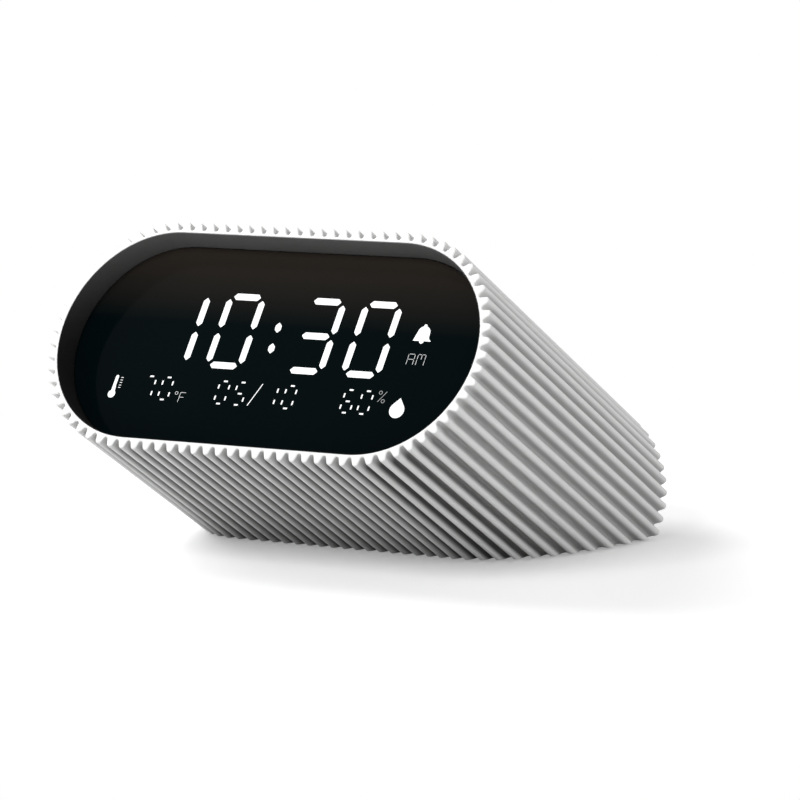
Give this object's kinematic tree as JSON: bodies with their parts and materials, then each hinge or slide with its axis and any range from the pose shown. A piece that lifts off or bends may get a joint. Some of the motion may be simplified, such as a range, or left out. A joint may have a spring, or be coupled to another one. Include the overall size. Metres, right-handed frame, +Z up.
{
  "type": "desk alarm clock",
  "caption": "Digital desk alarm clock in a ribbed stadium-section tube that leans back and is cut flat to stand, with a recessed black display and rear controls.",
  "frame": {"origin": "centre of the bounding box on the surface the clock stands on", "axes": "+X to the right as seen from the front, +Y to the back, away from the display, +Z up"},
  "size_m": [0.1404, 0.1334, 0.0935],
  "materials": {
    "white_shell": "fine matte",
    "black_bezel": "matte",
    "window_black": "polished",
    "display_glass": "polished",
    "clear_acrylic": "polished",
    "film_white": "matte",
    "lamp_strip": "satin",
    "inner_white_plastic": "matte",
    "flex_amber": "satin",
    "board_green": "satin",
    "chip_black": "matte",
    "cable_grey": "matte",
    "wire_red": "satin",
    "wire_black": "satin",
    "cover_white": "fine matte",
    "button_grey": "satin",
    "plunger_black": "satin",
    "bright_steel": "satin",
    "screw_steel": "satin",
    "socket_black": "matte",
    "cone_black": "matte",
    "magnet_grey": "plain",
    "cell_wrap": "satin",
    "contact_brass": "satin",
    "ballast_steel": "zinc grey",
    "foot_rubber": "matte"
  },
  "bodies": {
    "case": {"ribbed_shell": "white_shell", "front_bezel": "black_bezel", "display_window": "window_black", "lcd_panel": "display_glass", "light_guide": "clear_acrylic", "reflector_sheet": "film_white", "backlight_strip": "lamp_strip", "lcd_carrier": "inner_white_plastic", "display_flex": "flex_amber", "main_board": "board_green", "main_board_parts": "chip_black", "ribbon_cable": "cable_grey", "battery_lead": "wire_red", "speaker_lead": "wire_black", "rear_cover": "cover_white", "key_board": "board_green", "switch_bodies": "bright_steel", "slide_switch_body": "bright_steel", "usb_shell": "bright_steel", "usb_tongue": "socket_black", "speaker_frame": "chip_black", "speaker_cone": "cone_black", "speaker_magnet": "magnet_grey", "climate_sensor": "board_green", "battery_tray": "inner_white_plastic", "battery_cells": "cell_wrap", "battery_contacts": "contact_brass", "battery_springs": "bright_steel", "ballast_blocks": "ballast_steel", "rubber_feet": "foot_rubber", "bezel_screws": "screw_steel", "carrier_screws": "screw_steel", "board_screws": "screw_steel", "cover_screws": "screw_steel", "key_board_screws": "screw_steel", "base_screws": "screw_steel"},
    "alarm_key": {"alarm_button": "button_grey", "alarm_plunger": "plunger_black"},
    "set_key": {"set_button": "button_grey", "set_plunger": "plunger_black"},
    "snooze_key": {"snooze_button": "button_grey", "snooze_plunger": "plunger_black"},
    "down_key": {"down_button": "button_grey", "down_plunger": "plunger_black"},
    "up_key": {"up_button": "button_grey", "up_plunger": "plunger_black"},
    "alarm_slider": {"alarm_switch": "button_grey"},
    "door": {"battery_door": "cover_white"}
  },
  "joints": [
    {"name": "alarm_press", "type": "slide", "parent": "case", "child": "alarm_key", "axis": [0, -0.8572, 0.515], "range_m": [0, 0.0005], "stiffness_N_per_m": 2000},
    {"name": "set_press", "type": "slide", "parent": "case", "child": "set_key", "axis": [0, -0.8572, 0.515], "range_m": [0, 0.0005], "stiffness_N_per_m": 2000},
    {"name": "snooze_press", "type": "slide", "parent": "case", "child": "snooze_key", "axis": [0, -0.8572, 0.515], "range_m": [0, 0.0005], "stiffness_N_per_m": 2000},
    {"name": "down_press", "type": "slide", "parent": "case", "child": "down_key", "axis": [0, -0.8572, 0.515], "range_m": [0, 0.0005], "stiffness_N_per_m": 2000},
    {"name": "up_press", "type": "slide", "parent": "case", "child": "up_key", "axis": [0, -0.8572, 0.515], "range_m": [0, 0.0005], "stiffness_N_per_m": 2000},
    {"name": "alarm_slide", "type": "slide", "parent": "case", "child": "alarm_slider", "axis": [1, 0, 0], "range_m": [-0.004, 0]},
    {"name": "door_slide", "type": "slide", "parent": "case", "child": "door", "axis": [0, 1, 0], "range_m": [0, 0.06]}
  ]
}
